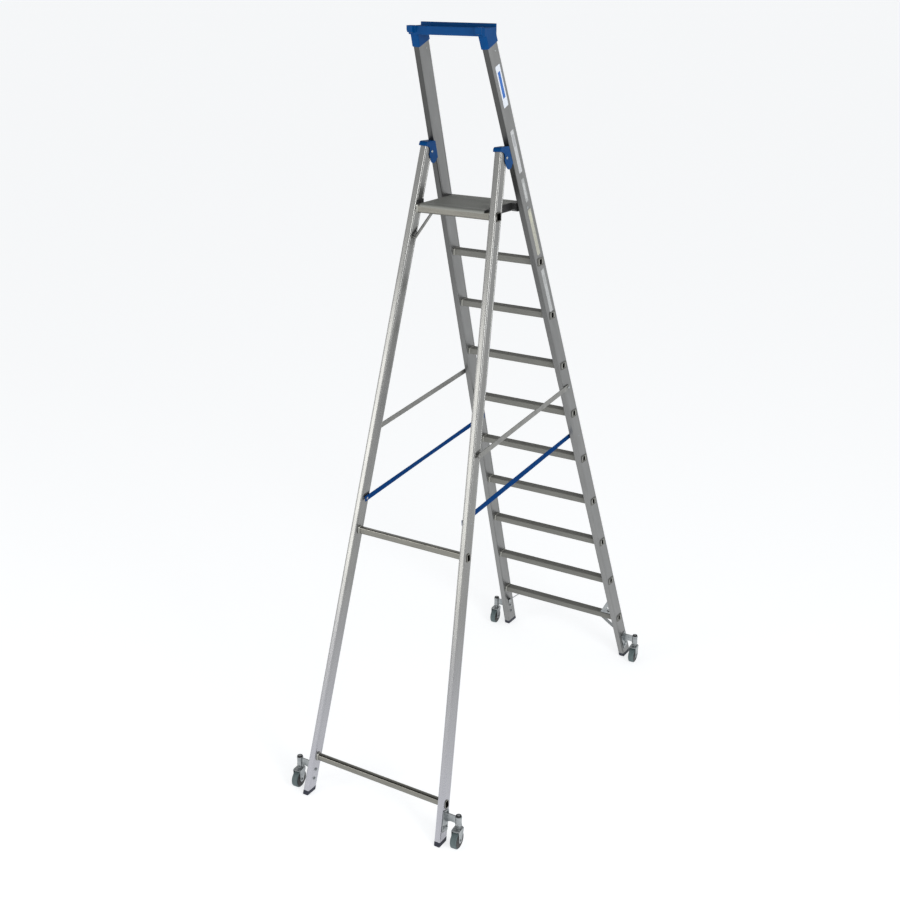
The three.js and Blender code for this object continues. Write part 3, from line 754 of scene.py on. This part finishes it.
def platform_shape():
    """The ribbed plate with a deep lip at the front and a short one at the rear."""
    top = PLATFORM["top"]
    front = PLATFORM["front"]
    rear = PLATFORM["rear"]
    skin = 3.2
    tall = PLATFORM["tall"]
    pitch = 6.0
    count = int((rear - front - 30) / pitch)
    start = front + 9
    upper = [(front, top - tall), (front, top - 4), (front + 1.2, top - 1.2), (front + 4, top)]
    for k in range(count):
        y = start + k * pitch
        upper += [(y, top), (y + 0.5, top - 0.9), (y + 1.7, top - 0.9), (y + 2.2, top)]
    lip = 10
    turns = [math.pi / 2 * k / 8 for k in range(9)]
    upper += [(rear - lip + lip * math.sin(a), top - lip + lip * math.cos(a)) for a in turns]
    upper += [(rear, top - 13)]
    lower = [(rear - 2.6, top - 13)]
    inner = lip - 2.6
    lower += [
        (rear - lip + inner * math.sin(a), top - lip + inner * math.cos(a)) for a in reversed(turns)]
    for y in (rear - 66, rear - 112, rear - 162, rear - 212):
        lower += [(y + 2.4, top - skin), (y + 2.4, top - tall), (y, top - tall), (y, top - skin)]
    lower += [(front + 3, top - skin), (front + 3, top - tall)]
    half = PLATFORM["half"]
    return prism(upper + lower, ALONG_X, -half, half)


deck = platform_shape()
show("platform_deck", deck, "platform", DECK, ["platform_plate"], grain=ALONG_X, smooth=30)
for side in SIDES:
    dress(f"platform_end_{side}", f"platform_cap_{side}", "platform", BLACK, 1.2, 3, 30)
    dress(f"stay_bar_{side}", f"stay_{side}", f"stay_{side}", STAY_ZINC, 0.6)
    dress(f"stay_hook_stud_{side}", f"stay_stud_{side}", "climbing_frame", ZINC, 0.5)

dress("strut_bar_right", "platform_strut_right", "strut_right", STAY_ZINC, 0.6)

# ---------------------------------------------------------------- straps

STRAP_X = min(inner_x(REAR, STRAP[end][1]) for end in ("rear", "front")) - STRAP["stand"]
STRAP_END = 13


def strap_shape():
    """Flat webbing from rivet to rivet, its edges rounded and its ends turned under."""
    (y0, z0), (y1, z1) = STRAP["rear"], STRAP["front"]
    length = math.hypot(y1 - y0, z1 - z0)
    along = Vector((0, y1 - y0, z1 - z0)).normalized()
    out = Vector((1, 0, 0))
    across = along.cross(out)
    axes = placed(out, across, along, (STRAP_X, y0, z0))
    steps = 90
    rings = []
    for k in range(steps + 1):
        share = k / steps
        s = -STRAP_END + (length + 2 * STRAP_END) * share
        end = min(s + STRAP_END, length + STRAP_END - s)
        twist = math.radians(9) * math.sin(math.pi * share) ** 2
        fold = 1.7 if end < 34 else 1.0
        half = STRAP["thick"] / 2 * fold
        wide = STRAP["wide"] / 2
        ring = []
        for a, b in rounded(2 * half, 2 * wide, half * 0.9, 3):
            x = a * math.cos(twist) - b * math.sin(twist)
            y = a * math.sin(twist) + b * math.cos(twist)
            ring.append(axes @ Vector((x, y, s)))
        rings.append(ring)
    return outward(loft(rings)), axes, length


strap, strap_axes, strap_length = strap_shape()
set_grain(strap, strap_axes)


def stitches():
    """A box of thread round each rivet: short raised stitches on the inner side of the strap."""
    parts = []
    face = -STRAP["thick"] * 0.85 - 0.1
    for end in (0, 1):
        middle = strap_length * end
        inward = 1 if end == 0 else -1
        for row in (-5.8, 5.8):
            for k in range(7):
                s = middle + inward * (9 + k * 3.2)
                parts.append(stitch(face, row, s, along=True))
        for s in (8, 30):
            for k in range(5):
                parts.append(stitch(face, -4.6 + k * 2.3, middle + inward * s, along=False))
    return joined(*parts)


def stitch(x, y, s, along):
    """One raised thread, laid along the strap or across it."""
    long, short = (1.1, 0.35) if along else (0.35, 0.9)
    rings = []
    for k in range(5):
        t = -1 + k / 2
        lift = 0.35 * (1 - t * t)
        ring = []
        for a in range(6):
            turn = math.pi * a / 3
            side = short * math.cos(turn) if along else 0.35 * math.cos(turn)
            up = lift * math.sin(turn) - 0.05
            if along:
                ring.append(strap_axes @ Vector((x - up, y + side, s + t * long)))
            else:
                ring.append(strap_axes @ Vector((x - up, y + t * short, s + side)))
        rings.append(ring)
    return outward(loft(rings))


def lay_strap(side, sign):
    """One strap with its stitches, each on a mesh of its own."""
    band = strap.copy() if sign > 0 else mirrored(strap)
    piece = show(f"strap_band_{side}", band, "climbing_frame", WEBBING, [f"safety_strap_{side}"])
    thread = stitches() if sign > 0 else mirrored(stitches())
    sewn = show(f"strap_thread_{side}", thread, "climbing_frame", STITCH)
    for soft in (piece, sewn):
        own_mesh(soft)


for side, sign in SIDES.items():
    lay_strap(side, sign)

# ---------------------------------------------------------------- rivets, bolts, washers


def dome(axes, radius, height, flat=0.0):
    """A rivet head on the plane x = 0 of axes, with a washer rim of thickness flat under it."""
    profile = [(0, flat + height)]
    for k in range(1, 6):
        a = math.pi / 2 * k / 5
        profile.append((radius * math.sin(a), flat + height * math.cos(a)))
    if flat:
        profile += [(radius * 1.45, flat), (radius * 1.55, flat - 0.3), (radius * 1.55, 0)]
    profile += [(0, 0)]
    return turned(profile, axes @ X_TO_Z, 20)


def hex_bolt(axes, across, height):
    """A hexagon head with a chamfer, on a washer, and the end of the thread in its middle."""
    upright = axes @ X_TO_Z
    radius = across / math.sqrt(3)
    turns = [math.pi / 3 * k for k in range(6)]
    outline = [(radius * math.cos(a), radius * math.sin(a)) for a in turns]
    head = bevelled(prism(outline, upright, 1.0, 1.0 + height), 0.5, 2, 20)
    rim = radius * 1.35
    washer = turned([(0, 0), (rim, 0), (rim, 0.8), (radius * 1.2, 1.05), (0, 1.05)], upright, 24)
    bolt = radius * 0.5
    tip = height + 2.9
    thread = turned(
        [(0, 0.9), (bolt, 0.9), (bolt, tip - 0.7), (radius * 0.4, tip), (0, tip)], upright, 16)
    return joined(head, washer, thread)


def on_face(section, back, z, inside=False, lift=0.0):
    """Axes on a stile's broad face, back mm behind its centre line at height z."""
    axes = face_axes(section, centre_y(section, z) + back, z, inside)
    return axes @ Matrix.Translation((lift, 0, 0))


strap_rear = STRAP["rear"][0] - centre_y(REAR, STRAP["rear"][1])
strap_front = STRAP["front"][0] - centre_y(FRONT, STRAP["front"][1])


def strap_rivet(section, back, z):
    """Head and washer on the inner side of the strap, and the shank that holds it to the stile."""
    axes = on_face(section, back, z, True, inner_x(section, z) - STRAP_X + 1.2)
    shank = turned([(0, -10), (2.4, -10), (2.4, 0.5), (0, 0.5)], axes @ X_TO_Z, 16)
    return joined(dome(axes, 3.6, 2.0, 0.9), shank)


FRONT_RIVETS = [
    dome(on_face(FRONT, *TRAY_RIVET), 3.4, 1.8),
    dome(on_face(FRONT, *TRAY_RIVET, True), 3.4, 1.8),
    dome(on_face(FRONT, strap_front, STRAP["front"][1]), 3.6, 1.8),
    strap_rivet(FRONT, strap_front, STRAP["front"][1]),
    dome(on_face(FRONT, 0, BRACE_RIVET, True, 1.2), 3.2, 1.8),
    dome(on_face(FRONT, *PLATFORM_PIVOT), 4.0, 2.0, 0.8),
    *[hex_bolt(on_face(FRONT, 0, z, True), 10, 4) for z in PLATE_BOLTS["front"]],
]
REAR_RIVETS = [
    dome(on_face(REAR, strap_rear, STRAP["rear"][1]), 3.6, 1.8),
    strap_rivet(REAR, strap_rear, STRAP["rear"][1]),
    dome(on_face(REAR, 0, STRUT_PIVOT), 3.8, 2.0),
    *[hex_bolt(on_face(REAR, 0, z, True), 10, 4) for z in PLATE_BOLTS["rear"]],
]
show_pair("climbing_fasteners", joined(*FRONT_RIVETS), "climbing_frame", ZINC)
show_pair("support_fasteners", joined(*REAR_RIVETS), "support_frame", ZINC)


def buffer_pad():
    """A plastic buffer on the rear stile's inner face, just above the platform's crossbar."""
    axes = on_face(REAR, -2, 2372, True, 0.3)
    flat = placed(*[axes.col[i].to_3d() for i in (1, 2, 0)], axes.translation)
    return bevelled(prism(rounded(44, 17, 4), flat, 0, 4.2), 1.0, 3, 40)


show_pair("platform_buffer", buffer_pad(), "support_frame", BLACK)

# ---------------------------------------------------------------- labels

# Each label's ends as heights of the left climbing stile, its colours, and the span and half
# width of its plain field in metres from its middle.
LABELS = {
    "upper": {
        "low": 2735, "high": 2882, "wide": 34, "field": (-0.045, 0.055, 0.009), "speckle": 0.1,
        "paper": (0.66, 0.7, 0.76), "ink": (0.02, 0.12, 0.42)},
    "high": {
        "low": 2487, "high": 2647, "wide": 24, "field": (0.02, 0.07, 0.008), "speckle": 0.5,
        "paper": (0.5, 0.51, 0.52), "ink": (0.36, 0.37, 0.38)},
    "middle": {
        "low": 2372, "high": 2462, "wide": 22, "field": (-0.035, 0.03, 0.006), "speckle": 0.7,
        "paper": (0.36, 0.37, 0.37), "ink": (0.5, 0.51, 0.51)},
    "low": {
        "low": 2153, "high": 2341, "wide": 24, "field": (0.045, 0.085, 0.009), "speckle": 0.7,
        "paper": (0.42, 0.42, 0.36), "ink": (0.5, 0.5, 0.4)},
    "lowest": {
        "low": 1903, "high": 2090, "wide": 24, "field": (0.03, 0.075, 0.008), "speckle": 0.6,
        "paper": (0.42, 0.43, 0.43), "ink": (0.36, 0.37, 0.37)},
}


def add_label(name, spec):
    """A thin plate with rounded corners on the outer face of the left climbing stile."""
    axes = stile_axes(FRONT)
    rise = axes.to_3x3().col[2].z
    low = spec["low"] / rise
    high = spec["high"] / rise
    middle = axes @ Vector((FRONT["width"] / 2, 0, (low + high) / 2))
    out, rear, up = [axes.col[i].to_3d() for i in range(3)]
    outline = rounded(spec["wide"], high - low, 4)
    plate = bevelled(prism(outline, placed(rear, up, out, middle), 0.02, 0.32), 0.1, 2, 40)
    set_grain(plate, placed(rear, out, up, middle))
    look = sticker(
        f"label_{name}", "aluminium", spec["paper"], spec["ink"], spec["field"], spec["speckle"])
    show(f"label_{name}", mirrored(plate), "climbing_frame", look)


for name, spec in LABELS.items():
    add_label(name, spec)

# ---------------------------------------------------------------- castors


def castor_axes(end, side):
    """The swivel line of a castor on the floor: x along its axle, y to where it trails."""
    lo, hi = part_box(f"castor_stem_{end}_{side}")
    middle = (lo + hi) / 2 / MM
    axes = Matrix.Rotation(CASTOR["turn"], 4, "Z")
    axes.translation = Vector((middle.x, middle.y, 0))
    return axes


def housing(axes):
    """A turned sleeve with rolled rims."""
    outer = HOUSING["radius"]
    bore = HOUSING["bore"]
    low = HOUSING["bottom"]
    high = HOUSING["top"]
    return turned([
        (bore, low), (outer - 2.5, low), (outer - 0.6, low + 0.8), (outer, low + 2.4),
        (outer, low + 7), (outer - 0.8, low + 8), (outer - 0.8, high - 8), (outer, high - 7),
        (outer, high - 2.4), (outer - 0.6, high - 0.8), (outer - 2.5, high), (bore, high)], axes)


def bracket_plate(section, axes):
    """The plate on the right stile's outer face, its four bolts, and the web to the housing."""
    z = (HOUSING["bottom"] + HOUSING["top"]) / 2
    low = z - 18
    face = face_axes(section, centre_y(section, low), low)
    lean = Matrix.Rotation(-math.atan(section["tilt"]), 4, "X")
    flat = face @ lean @ ALONG_X
    outline = rounded(PLATE["wide"], PLATE["tall"], PLATE["corner"])
    plate = bevelled(prism(outline, flat, GAP, PLATE["thick"]), 0.7, 2, 40)
    x0 = outer_x(section, z) + 2.5
    x1 = abs(axes.translation.x) - HOUSING["radius"] + 2.5
    y = axes.translation.y
    upright = placed(Vector((1, 0, 0)), Vector((0, 0, 1)), Vector((0, -1, 0)), (0, y, 0))
    top = HOUSING["top"] - 3
    low = HOUSING["bottom"] + 5
    web = [(x0, low - 10), (x0, top), (x1, top), (x1, low)]
    for share in [k / 6 for k in range(1, 6)]:
        drop = 10 * share ** 2 - 3 * math.sin(math.pi * share)
        web.append((x1 - 7 - (x1 - x0 - 7) * share, low - drop))
    parts = [plate, bevelled(prism(web, upright, -3, 3), 0.8, 2, 35)]
    for back, height in ((-9, -24), (9, -24), (-9, 34), (9, 34)):
        parts.append(hex_bolt(face_on(flat, back, height), 8, 3))
    return joined(*parts)


def face_on(flat, x, y):
    """Axes with x out of a flat plate, at (x, y) on its outer side."""
    at = flat @ Vector((x, y, PLATE["thick"]))
    return placed(flat.col[2].to_3d(), flat.col[0].to_3d(), flat.col[1].to_3d(), at)


def fork_shape(axes):
    """A pressed fork: a hood with two broad legs, each rounded about the axle."""
    inner = FORK["inner"]
    outer = inner + FORK["sheet"]
    top = FORK["hood"] + FORK["hood_sheet"]
    trail = CASTOR["trail"]
    wheel = CASTOR["wheel"]
    end = FORK["end"]
    cover = axes @ Matrix.Translation((0, 8, 0))
    hood = prism(rounded(2 * outer, 50, 13, 8), cover, FORK["hood"], top)
    turns = [math.pi + math.pi * k / 12 for k in range(13)]
    leg = [(-13, top - 1), (-12, top - 10)]
    leg += [(trail + end * math.cos(a), wheel + end * math.sin(a)) for a in turns]
    leg += [(29, top - 10), (29, top - 1)]
    side = axes @ ALONG_X
    legs = [prism(leg, side, inner, outer), prism(leg, side, -outer, -inner)]
    return worked(moulded(joined(hood, *legs), 0.75, 4), ("DECIMATE", {"ratio": 0.35}))


def axle_axes(axes):
    """Axes in the middle of the wheel, with z along the axle."""
    return axes @ Matrix.Translation((0, CASTOR["trail"], CASTOR["wheel"])) @ ALONG_X


def axle_ends(axes):
    """The axle, with a nut outside each leg of the fork."""
    outer = FORK["inner"] + FORK["sheet"]
    wheel = axle_axes(axes)
    parts = [turned([(0, -outer), (3.9, -outer), (3.9, outer), (0, outer)], wheel, 20)]
    for sign in (1, -1):
        out = placed(
            wheel.col[2].to_3d() * sign, wheel.col[0].to_3d(), wheel.col[1].to_3d() * sign,
            wheel @ Vector((0, 0, sign * (outer - 0.4))))
        parts.append(hex_bolt(out, 10, 2.0))
    return joined(*parts)


def tyre_shape(axes):
    """A rubber tyre with a flat tread and rounded shoulders."""
    half = CASTOR["tyre"] / 2
    top = CASTOR["wheel"]
    seat = CASTOR["hub"] + GAP
    turns = [math.pi / 2 * k / 8 for k in range(9)]
    shoulder = [(top - 6.5 + 6.5 * math.sin(a), half - 4.2 + 4.2 * math.cos(a)) for a in turns]
    profile = [(seat, -half + 0.6), (seat + 1.4, -half)]
    profile += [(r, -h) for r, h in shoulder] + shoulder[::-1]
    profile += [(seat + 1.4, half), (seat, half - 0.6)]
    return turned(profile, axle_axes(axes), 96)


def guard_and_shade_rings(axes):
    """Dark dished rings by the fork: a thread guard, and painted shade on the wheel's side."""
    half = CASTOR["tyre"] / 2
    reach = CASTOR["hub"] + 4.5
    rings = []
    for sign in (1, -1):
        profile = [
            (12, half - 0.2), (13, half + 0.5), (CASTOR["hub"] - 6, half + 0.9),
            (reach - 1.5, half + 0.9), (reach, half + 0.3), (reach - 0.6, half - 0.1),
            (reach - 3, half + 0.1), (14, half - 0.4)]
        rings.append(turned([(r, sign * h) for r, h in profile], axle_axes(axes), 64))
    return joined(*rings)


def rim_shape(axes):
    """A dished disc with a raised boss and shallow pockets between six ribs."""
    half = CASTOR["tyre"] / 2 - 0.6
    hub = CASTOR["hub"] - 4.6
    face = [
        (4.5, half - 0.2), (9, half - 0.2), (10, half - 1), (10.5, half - 4), (20, half - 3),
        (21, half - 1), (hub, half - 0.6)]
    profile = [(r, -h) for r, h in face] + face[::-1]
    disc = turned(profile, axle_axes(axes), 64)
    ribs = []
    for k in range(6):
        turn = axle_axes(axes) @ Matrix.Rotation(math.pi / 3 * k + 0.2, 4, "Z")
        for sign in (1, -1):
            flat = turn @ Matrix.Translation((15.3, 0, sign * (half - 3.3)))
            ribs.append(bevelled(prism(rounded(11.4, 2.6, 1.0, 3), flat, -1.5, 1.5), 0.4, 2, 40))
    return joined(disc, *ribs)


def stem_shape(axes):
    """The sprung post: a flange over the fork, the shank, and its bright head above the housing."""
    shank = HOUSING["bore"] - 0.6
    low = FORK["hood"] + FORK["hood_sheet"] + GAP
    high = HOUSING["top"]
    return turned([
        (0, low), (10.4, low), (11, low + 0.6), (10.6, low + 1.9), (shank, low + 3.2),
        (shank, high + 1), (6.6, high + 2), (6.6, high + 5.2), (5.8, high + 6), (0, high + 6.2)],
        axes, 40)


def stem_cap(axes):
    """The dark ring that rests on the housing, round the post's head."""
    base = HOUSING["top"] + GAP
    return turned([
        (7.2, base), (11.2, base), (11.6, base + 0.6), (11.6, base + 2.8), (11, base + 3.8),
        (9.4, base + 4.4), (8, base + 4.1), (7.2, base + 3.2)], axes, 40)


for end, section, body in (("front", FRONT, "climbing_frame"), ("rear", REAR, "support_frame")):
    right = castor_axes(end, "right")
    plate = bracket_plate(section, right)
    sleeve = housing(Matrix.Translation(right.translation))
    show_pair(f"castor_plate_{end}", plate, body, ZINC, f"castor_bracket_{end}_{{}}")
    show_pair(f"castor_sleeve_{end}", sleeve, body, ZINC)
    for side in SIDES:
        axes = castor_axes(end, side)
        tag = f"{end}_{side}"
        show(f"castor_post_{tag}", stem_shape(axes), f"stem_{tag}", ZINC, [f"castor_stem_{tag}"])
        show(f"castor_cap_{tag}", stem_cap(axes), f"stem_{tag}", BLACK)
        show(
            f"castor_hood_{tag}", fork_shape(axes), f"fork_{tag}", ZINC, [f"castor_fork_{tag}"],
            smooth=60)
        show(f"castor_axle_{tag}", axle_ends(axes), f"fork_{tag}", ZINC)
        show(f"castor_tread_{tag}", tyre_shape(axes), f"wheel_{tag}", TYRE, [f"castor_tyre_{tag}"])
        # The black ring is partly a thread guard and partly painted shade between the tyre and the
        # fork leg.
        show(f"castor_guard_and_shade_{tag}", guard_and_shade_rings(axes), f"wheel_{tag}", BLACK)
        show(f"castor_rim_{tag}", rim_shape(axes), f"wheel_{tag}", RIM, [f"castor_hub_{tag}"])

# ---------------------------------------------------------------- floor, light, camera


def add_floor():
    mesh = bpy.data.meshes.new("floor")
    reach = 400
    corners = [(x * reach, y * reach, 0) for x, y in ((-1, -1), (1, -1), (1, 1), (-1, 1))]
    mesh.from_pydata(corners, [], [(0, 1, 2, 3)])
    floor = bpy.data.objects.new("floor", mesh)
    bpy.context.scene.collection.objects.link(floor)
    paper = bpy.data.materials.new("floor_paper")
    paper.use_nodes = True
    shader = paper.node_tree.nodes["Principled BSDF"]
    shader.inputs["Base Color"].default_value = (0.5, 0.5, 0.5, 1)
    shader.inputs["Roughness"].default_value = 1.0
    shader.inputs["Specular IOR Level"].default_value = 0.0
    shader.inputs["Emission Color"].default_value = (0.97, 0.985, 1, 1)
    shader.inputs["Emission Strength"].default_value = 0.72
    mesh.materials.append(paper)


def add_softbox(name, at, toward, size, power, color=(1, 1, 1)):
    light = bpy.data.lights.new(name, "AREA")
    light.shape = "RECTANGLE"
    light.size, light.size_y = size
    light.energy = power
    light.color = color
    lamp = bpy.data.objects.new(name, light)
    lamp.location = at
    lamp.rotation_mode = "QUATERNION"
    lamp.rotation_quaternion = (Vector(toward) - Vector(at)).to_track_quat("-Z", "Y")
    bpy.context.scene.collection.objects.link(lamp)


def add_world():
    """A studio that is bright near the horizon and dim overhead."""
    world = bpy.data.worlds.new("studio")
    bpy.context.scene.world = world
    world.use_nodes = True
    nodes = world.node_tree.nodes
    links = world.node_tree.links
    place = nodes.new("ShaderNodeTexCoord")
    split = nodes.new("ShaderNodeSeparateXYZ")
    links.new(place.outputs["Generated"], split.inputs[0])
    level = nodes.new("ShaderNodeMapRange")
    level.interpolation_type = "SMOOTHSTEP"
    level.inputs["From Min"].default_value = 0.0
    level.inputs["From Max"].default_value = 0.75
    level.inputs["To Min"].default_value = 1.15
    level.inputs["To Max"].default_value = 0.3
    links.new(split.outputs["Z"], level.inputs["Value"])
    links.new(level.outputs["Result"], nodes["Background"].inputs["Strength"])
    nodes["Background"].inputs["Color"].default_value = (0.99, 0.995, 1, 1)


def add_camera():
    """The camera stands behind the ladder, 3.2 m up, and looks down at it."""
    azimuth, elevation, roll = [math.radians(CAMERA[k]) for k in ("azimuth", "elevation", "roll")]
    look = Vector((
        -math.sin(azimuth) * math.cos(elevation), math.cos(azimuth) * math.cos(elevation),
        math.sin(elevation)))
    right = look.cross(Vector((0, 0, 1))).normalized()
    up = right.cross(look)
    tilted = right * math.cos(roll) + up * math.sin(roll)
    above = up * math.cos(roll) - right * math.sin(roll)
    data = bpy.data.cameras.new("camera")
    data.sensor_width = 36
    data.lens = CAMERA["lens"]
    data.clip_end = 1000
    camera = bpy.data.objects.new("camera", data)
    matrix = Matrix((tilted, above, -look)).transposed().to_4x4()
    matrix.translation = Vector(CAMERA["at"])
    camera.matrix_world = matrix
    bpy.context.scene.collection.objects.link(camera)
    bpy.context.scene.camera = camera


add_floor()
add_world()
add_softbox("key", (-4.5, 5.5, 4.5), (0, 0, 1.5), (3.0, 2.5), 80, (1.0, 0.985, 0.95))
add_softbox("edge", (-5.2, 3.0, 3.2), (0, 0, 1.6), (1.6, 2.6), 125, (0.98, 0.99, 1.0))
add_softbox("fill", (3.2, 5.2, 1.8), (0, 0.3, 1.6), (2.0, 2.6), 60, (1.0, 0.99, 0.96))
add_camera()
bpy.context.scene.view_settings.view_transform = "Standard"
